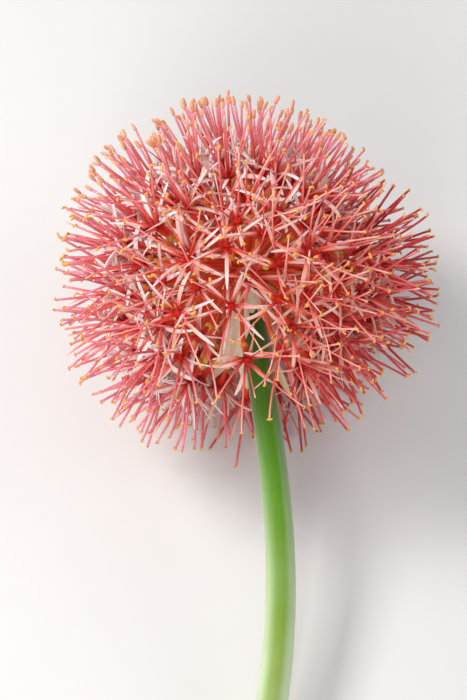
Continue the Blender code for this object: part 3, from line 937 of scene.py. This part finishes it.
def stamen_paths(head, sizes, draw):
    """Filaments that leave the throat spread and straighten a little towards their tips."""
    floret, axis, outward, aside = sixes(head, draw, wander=0.14)
    count = len(floret)
    openness = head.spread[floret].clip(0.15, 1.4)
    begin = np.radians(43.0 + draw.normal(0.0, 6.0, count)) * openness
    finish = begin * 0.85 + np.radians(draw.normal(0.0, 7.0, count)) * openness
    length = sizes.filament_length * (1.0 + draw.normal(0.0, 0.05, count).clip(-0.1, 0.06))
    length = length * np.where(head.openness[floret] < BUD, 0.75, 1.0)
    length = length * (0.9 + 0.1 * head.ripe[floret])
    start = head.mouth[floret] - axis * 1.6 * MM + outward * 1.0 * MM
    sway = draw.normal(0.0, 0.16, count)
    return floret, curled_paths(
        start, axis, outward, aside, begin, finish, sway, length, STRAND_PLACES, FILAMENT_CLEAR
    )


def make_filaments(head, sizes, finish):
    """Round strands that taper gently to the anther."""
    draw = np.random.default_rng(SEED + 5)
    floret, path = stamen_paths(head, sizes, draw)
    share = STRAND_PLACES[1:-1]
    radius = sizes.filament_thickness / 2.0 * (1.04 - 0.2 * share + 0.6 * np.exp(-share / 0.1))
    outline = circle(6) * (head.slender[floret][:, None] * radius)[..., None, None]
    fields = own_fields(STRAND_PLACES, head, floret, draw)
    new_strands("filaments", path, outline, fields, finish)


def make_anthers(head, sizes, finish):
    """Two-lobed anthers on arcs: long and in line with the filament while fresh, and short, curled
    and set crosswise once ripe.

    The arc is (e sin(k t) + c (1 - cos(k t))) / k half lengths from its middle for t from -1 to 1,
    with e its direction at the middle and c the side that it curls towards. The middle is on the
    filament's tip once ripe, and up to 0.42 of the length past it while fresh.
    """
    floret, (stamens, *_) = stamen_paths(head, sizes, np.random.default_rng(SEED + 5))
    draw = np.random.default_rng(SEED + 6)
    one_each = (len(floret), 1)
    tip = stamens[:, -1]
    heading = unit(tip - stamens[:, -3])
    spin = draw.uniform(0.0, math.tau, len(floret))[:, None]
    base = square_to(heading, np.roll(heading, 1, axis=1) + 0.2)
    beside = turned(spin, base, np.cross(heading, base))
    stray = draw.normal(0.0, 0.12, len(floret))
    ripe = np.clip(head.ripe[floret] + stray, 0.0, 1.0)[:, None]
    lean = 0.12 + 1.25 * ripe + draw.normal(0.0, 0.16, one_each)
    curl = (0.12 + 1.6 * ripe * draw.uniform(0.55, 1.15, one_each))[..., None]
    long = sizes.anther_length * (1.0 - 0.42 * ripe)
    direction, hook = turned(lean, heading, beside), turned(lean, beside, -heading)
    t = np.array((-1.0, -0.94, -0.72, -0.3, 0.2, 0.65, 0.92, 1.0))
    turn = curl * t[:, None]
    arc = direction[:, None] * np.sin(turn) + hook[:, None] * (1.0 - np.cos(turn))
    middle = tip + direction * (0.42 * long * (1.0 - ripe))
    points = middle[:, None] + arc * long[..., None] / 2.0 / curl
    points[..., 2] = np.maximum(points[..., 2], ANTHER_CLEAR)
    around = bearings(8)
    lobes = 1.0 + 0.16 * np.cos(2.0 * around)
    swell = np.array((0.6, 0.92, 1.0, 1.0, 0.9, 0.55))[:, None]
    stout = sizes.anther_thickness / 2.0 * (1.0 - 0.5 * ripe)[..., None]
    outline = circle(8) * (stout * swell * lobes)[..., None]
    fields = own_fields((t + 1.0) / 2.0, head, floret, draw)
    fields["ripe"] = ripe[..., None]
    fields["around"] = np.cos(around)[None, None]
    path = framed(points, np.cross(direction, hook)[:, None])
    new_strands("anthers", path, outline, fields, finish)


def make_styles(head, sizes, finish):
    """One thin style from each throat, nearly on the floret's axis, with a blunt pale tip."""
    draw = np.random.default_rng(SEED + 7)
    count = head.count
    turn = draw.uniform(0.0, math.tau, (count, 1))
    outward = turned(turn, head.right, head.fore)
    begin = np.abs(np.radians(draw.normal(6.0, 5.0, count)))
    end = begin + np.radians(draw.normal(10.0, 10.0, count))
    length = sizes.filament_length * (0.93 + draw.normal(0.0, 0.04, count))
    path = curled_paths(
        head.mouth - head.axis * 2.0 * MM, head.axis, outward, np.cross(head.axis, outward), begin,
        end, draw.normal(0.0, 0.15, count), length, STRAND_PLACES, FILAMENT_CLEAR,
    )
    radius = sizes.filament_thickness / 2.0 * (0.85 - 0.25 * STRAND_PLACES[1:-1])
    outline = circle(6) * (head.slender[:, None] * radius)[..., None, None]
    fields = own_fields(STRAND_PLACES, head, head.every, draw)
    new_strands("styles", path, outline, fields, finish)


def number_property(name, description, default, **limits):
    """A number that a user may change."""
    return bpy.props.FloatProperty(name=name, description=description, default=default, **limits)


def length_property(name, description, default):
    """A length that a user may change."""
    return number_property(name, description, default * MM, min=0.0, unit="LENGTH", precision=5)


def colour_property(name, description, default):
    """A colour that a user may change, in linear light."""
    return bpy.props.FloatVectorProperty(
        name=name, description=description, default=default, min=0.0, max=1.0, size=3,
        subtype="COLOR",
    )


class LilyHeadSizes(bpy.types.PropertyGroup):
    """Sizes of the umbel's florets."""

    floret_count: bpy.props.IntProperty(
        name="Florets", description="How many florets the head carries", default=160, min=40,
        max=200,
    )
    sunk_share: number_property(
        "Sunk florets", "Share of the florets that sit deeper in the head", 0.16, min=0.0, max=1.0
    )
    unevenness: number_property(
        "Unevenness", "How far florets turn from straight outwards", 0.08, min=0.0, max=0.5
    )
    mouth_reach: length_property("Mouth reach", "From the head's centre to a floret's mouth", 55.0)
    tube_length: length_property("Tube", "From an ovary's middle to the floret's mouth", 10.5)
    stalk_thickness: length_property("Stalk thickness", "Thickness of a floret's stalk", 1.9)
    tepal_length: length_property("Tepal length", "Length of a tepal", 19.5)
    tepal_width: length_property("Tepal width", "Width of a middling tepal at its widest", 1.95)
    filament_length: length_property("Filament length", "Length of a stamen's stalk", 30.5)
    filament_thickness: length_property("Filament thickness", "Thickness at the rim", 1.28)
    anther_length: length_property("Anther length", "Length of an anther before it ripens", 4.2)
    anther_thickness: length_property("Anther thickness", "Width before it ripens", 1.7)


class LilyColours(bpy.types.PropertyGroup):
    """Colours of the flower's parts."""

    throat: colour_property("Throat", "Mouth and root of a floret", (0.50, 0.014, 0.008))
    tube: colour_property("Tube", "Tube of a floret", (0.72, 0.050, 0.020))
    filament: colour_property("Filament", "Filaments on the ruddy side", (0.72, 0.062, 0.048))
    # partly painted shade: the filaments' colour on the head's shaded lower right
    filament_deep: colour_property("Deep filament", "On the ruddiest side", (0.42, 0.010, 0.016))
    filament_tip: colour_property("Filament tip", "Tips on the ruddy side", (0.78, 0.18, 0.17))
    # partly painted light: the filaments' colour on the head's lit upper left
    filament_rose: colour_property("Rose filament", "On the pale side", (0.68, 0.115, 0.138))
    # painted highlight: middle and tip of filaments that point to or from the camera
    filament_salmon: colour_property("Salmon filament", "Middle if facing out", (0.78, 0.20, 0.15))
    filament_cream: colour_property("Cream tip", "Tip if facing out", (0.90, 0.54, 0.42))
    # partly painted light: filament tips on the head's lit upper left
    filament_pale: colour_property("Pale tip", "Tips on the pale side", (0.76, 0.28, 0.34))
    tepal_warm: colour_property("Tepal", "Middle of a tepal", (0.92, 0.27, 0.18))
    tepal_pale: colour_property("Pale tepal", "Outer part, ruddy side", (0.94, 0.54, 0.49))
    # partly painted light: outer part of the tepals on the head's lit upper left
    tepal_white: colour_property("White tepal", "Outer part, pale side", (1.0, 0.86, 0.83))
    anther_fresh: colour_property("Fresh anther", "Before it opens", (0.74, 0.32, 0.17))
    anther_pale: colour_property("Pale anther", "Palest fresh anther", (0.84, 0.54, 0.38))
    anther_ripe: colour_property("Ripe anther", "Once it has opened", (0.70, 0.30, 0.05))
    anther_seam: colour_property("Anther seam", "Line along its lobes", (0.42, 0.13, 0.03))
    pollen: colour_property("Pollen", "Grains on a ripe anther", (0.86, 0.48, 0.08))
    ovary: colour_property("Ovary", "Green side of an ovary", (0.66, 0.60, 0.09))
    ovary_blush: colour_property("Ovary blush", "Orange side of an ovary", (0.86, 0.28, 0.035))
    stalk: colour_property("Stalk", "Middle of a floret's stalk", (0.90, 0.14, 0.045))
    stalk_green: colour_property("Stalk root", "Lower end of a stalk", (0.46, 0.42, 0.16))
    receptacle: colour_property("Receptacle", "Stem's top between stalks", (0.36, 0.05, 0.02))
    scape_dark: colour_property("Dark stem", "Stem under the head", (0.03, 0.12, 0.002))
    scape: colour_property("Stem", "Middle of the stem", (0.072, 0.215, 0.004))
    scape_pale: colour_property("Pale stem", "Lower part of the stem", (0.20, 0.305, 0.042))
    scape_end: colour_property("Stem end", "Stem at its cut end", (0.28, 0.36, 0.13))
    scape_dried: colour_property("Dried rim", "Rim of the cut", (0.40, 0.36, 0.16))
    # also the colour of the painted highlight along the stem's flanks
    wax_and_painted_highlight: colour_property("Wax", "Bloom on the stem", (0.62, 0.74, 0.50))
    pith: colour_property("Pith", "Inside of the stem at the cut", (0.66, 0.72, 0.42))
    bract: colour_property("Bract", "Paper of the bracts", (0.98, 1.0, 0.70))
    bract_tan: colour_property("Bract edge", "Edges and tips of the bracts", (0.74, 0.50, 0.28))
    bract_blush: colour_property("Bract blush", "Peach side of the bracts", (0.78, 0.42, 0.24))
    bract_vein: colour_property("Bract vein", "Veins of the bracts", (0.58, 0.54, 0.26))


class LilyStage(bpy.types.PropertyGroup):
    """Floor, lights and camera."""

    floor: colour_property("Floor", "Colour of the floor", (0.66, 0.65, 0.64))
    key_power: number_property("Key light", "Power of the main light", 10.8, unit="POWER")
    front_power: number_property("Front light", "Power by the camera", 7.2, unit="POWER")
    fill_power: number_property("Fill light", "Power at the right", 2.8, unit="POWER")
    sky: number_property("Sky", "Brightness of the surroundings", 0.46, min=0.0)
    distance: length_property("Camera distance", "From the camera to the head's centre", 1000.0)
    lens: number_property("Lens", "Focal length", 119.0, unit="CAMERA")


def make_floor(settings):
    """A wide round floor, made as one flat disc."""
    sides, radius = 96, 6.0
    mesh = bpy.data.meshes.new("floor")
    flat = np.concatenate((circle(sides) * radius, np.zeros((sides, 1))), axis=1)
    mesh.from_pydata(flat, [], [range(sides)])
    floor = bpy.data.objects.new("floor", mesh)
    bpy.context.scene.collection.objects.link(floor)
    paint = Paint("floor_finish", Roughness=0.75)
    tone = paint.noise(60.0, 2.0)
    darker = [0.985 * part for part in settings.floor]
    mesh.materials.append(paint.finished(paint.mix(tone, settings.floor, darker)))


def make_lights(scene, settings):
    """A large key light from the upper left of the picture, weaker ones from the camera's side and
    from the right, and sky."""
    # Name, direction in the picture, distance and size in metres, power and colour
    lamps = (
        ("key_light", (-0.75, 0.65, 0.65), 1.1, 0.35, settings.key_power, (1.0, 0.97, 0.94)),
        ("front_light", (-0.25, -0.45, 1.0), 1.2, 0.5, settings.front_power, (1.0, 0.99, 0.97)),
        ("fill_light", (0.95, 0.3, 0.45), 1.2, 0.5, settings.fill_power, (0.97, 0.98, 1.0)),
    )
    for name, way, reach, size, power, colour in lamps:
        lamp = bpy.data.lights.new(name, "AREA")
        lamp.energy, lamp.size, lamp.color = power, size, colour
        place = Vector(HEAD_CENTRE + unit(in_view(*way)) * reach)
        facing = (Vector(HEAD_CENTRE) - place).to_track_quat("-Z", "Y")
        thing = bpy.data.objects.new(name, lamp)
        thing.matrix_world = Matrix.LocRotScale(place, facing, None)
        scene.collection.objects.link(thing)
    world = bpy.data.worlds.new("soft_sky")
    world.use_nodes = True
    sky = world.node_tree.nodes["Background"]
    sky.inputs["Color"].default_value = (0.93, 0.95, 1.0, 1.0)
    sky.inputs["Strength"].default_value = settings.sky
    scene.world = world


def make_camera(scene, settings):
    """A long lens that looks down on the lying flower, square to the head from its front."""
    camera = bpy.data.cameras.new("camera")
    camera.lens = settings.lens
    camera.sensor_width = 36.0
    camera.clip_start = 0.05
    aside, above = -6.2 * MM, -28.9 * MM
    place = HEAD_CENTRE + in_view(aside, above, settings.distance)
    facing = Matrix((VIEW_RIGHT, VIEW_UP, TOWARD)).transposed()
    thing = bpy.data.objects.new("camera", camera)
    thing.matrix_world = Matrix.Translation(place) @ facing.to_4x4()
    scene.collection.objects.link(thing)
    scene.camera = thing


class LILY_OT_stage(bpy.types.Operator):
    """Makes the pale floor, the soft lights and the camera"""

    bl_idname = "lily.stage"
    bl_label = "Stage"

    def execute(self, context):
        settings = context.scene.lily_stage
        make_floor(settings)
        make_lights(context.scene, settings)
        make_camera(context.scene, settings)
        return {"FINISHED"}


class LILY_OT_scape(bpy.types.Operator):
    """Makes the stem with its cut end"""

    bl_idname = "lily.scape"
    bl_label = "Scape"

    def execute(self, context):
        make_scape(context.scene.lily_colours)
        return {"FINISHED"}


class LILY_OT_bracts(bpy.types.Operator):
    """Makes the four papery bracts under the head and their joined bases"""

    bl_idname = "lily.bracts"
    bl_label = "Bracts"

    def execute(self, context):
        finish = bract_finish(context.scene.lily_colours)
        make_collar(finish)
        for name, tone, bearing, spread, length, width, wave in BRACTS:
            turn, spread = math.radians(bearing), math.radians(spread)
            make_bract(name, finish, tone, turn, spread, length * MM, width * MM, wave)
        return {"FINISHED"}


class LILY_OT_stalks(bpy.types.Operator):
    """Makes the receptacle and the florets' stalks, ovaries and tubes"""

    bl_idname = "lily.stalks"
    bl_label = "Stalks, ovaries and tubes"

    def execute(self, context):
        sizes, colours = context.scene.lily_sizes, context.scene.lily_colours
        head = grown_head(sizes)
        make_receptacle(head, dome_finish(colours))
        make_stalks(head, sizes, stalk_finish(colours))
        make_ovaries(head, ovary_finish(colours))
        make_tubes(head, sizes, tube_finish(colours))
        return {"FINISHED"}


class LILY_OT_tepals(bpy.types.Operator):
    """Makes the florets' narrow tepals"""

    bl_idname = "lily.tepals"
    bl_label = "Tepals"

    def execute(self, context):
        sizes = context.scene.lily_sizes
        make_tepals(grown_head(sizes), sizes, tepal_finish(context.scene.lily_colours))
        return {"FINISHED"}


class LILY_OT_stamens(bpy.types.Operator):
    """Makes the florets' filaments, anthers and styles"""

    bl_idname = "lily.stamens"
    bl_label = "Stamens and styles"

    def execute(self, context):
        sizes, colours = context.scene.lily_sizes, context.scene.lily_colours
        head = grown_head(sizes)
        make_filaments(head, sizes, filament_finish(colours))
        make_anthers(head, sizes, anther_finish(colours))
        make_styles(head, sizes, style_finish(colours))
        return {"FINISHED"}


class LILY_PT_panel(bpy.types.Panel):
    """The flower's settings and the buttons that make its pieces"""

    bl_idname = "LILY_PT_panel"
    bl_label = "Blood lily"
    bl_space_type = "VIEW_3D"
    bl_region_type = "UI"
    bl_category = "Blood lily"

    def draw(self, context):
        for name, group in GROUPS.items():
            box = self.layout.box()
            for setting in group.__annotations__:
                box.prop(getattr(context.scene, name), setting)
        for operator in OPERATORS:
            self.layout.operator(operator.bl_idname)


OPERATORS = (
    LILY_OT_stage, LILY_OT_scape, LILY_OT_bracts, LILY_OT_stalks, LILY_OT_tepals, LILY_OT_stamens
)
GROUPS = {"lily_sizes": LilyHeadSizes, "lily_colours": LilyColours, "lily_stage": LilyStage}


def register():
    """Registers the settings, the operators and the panel."""
    for kind in (*GROUPS.values(), *OPERATORS, LILY_PT_panel):
        bpy.utils.register_class(kind)
    for name, group in GROUPS.items():
        setattr(bpy.types.Scene, name, bpy.props.PointerProperty(type=group))


def unregister():
    """Takes out what register put in."""
    for name in GROUPS:
        delattr(bpy.types.Scene, name)
    for kind in reversed((*GROUPS.values(), *OPERATORS, LILY_PT_panel)):
        bpy.utils.unregister_class(kind)


def main():
    """Makes every piece in order."""
    register()
    bpy.ops.lily.stage()
    bpy.ops.lily.scape()
    bpy.ops.lily.bracts()
    bpy.ops.lily.stalks()
    bpy.ops.lily.tepals()
    bpy.ops.lily.stamens()
    bpy.context.scene.view_settings.view_transform = "Standard"


if __name__ == "__main__":
    main()
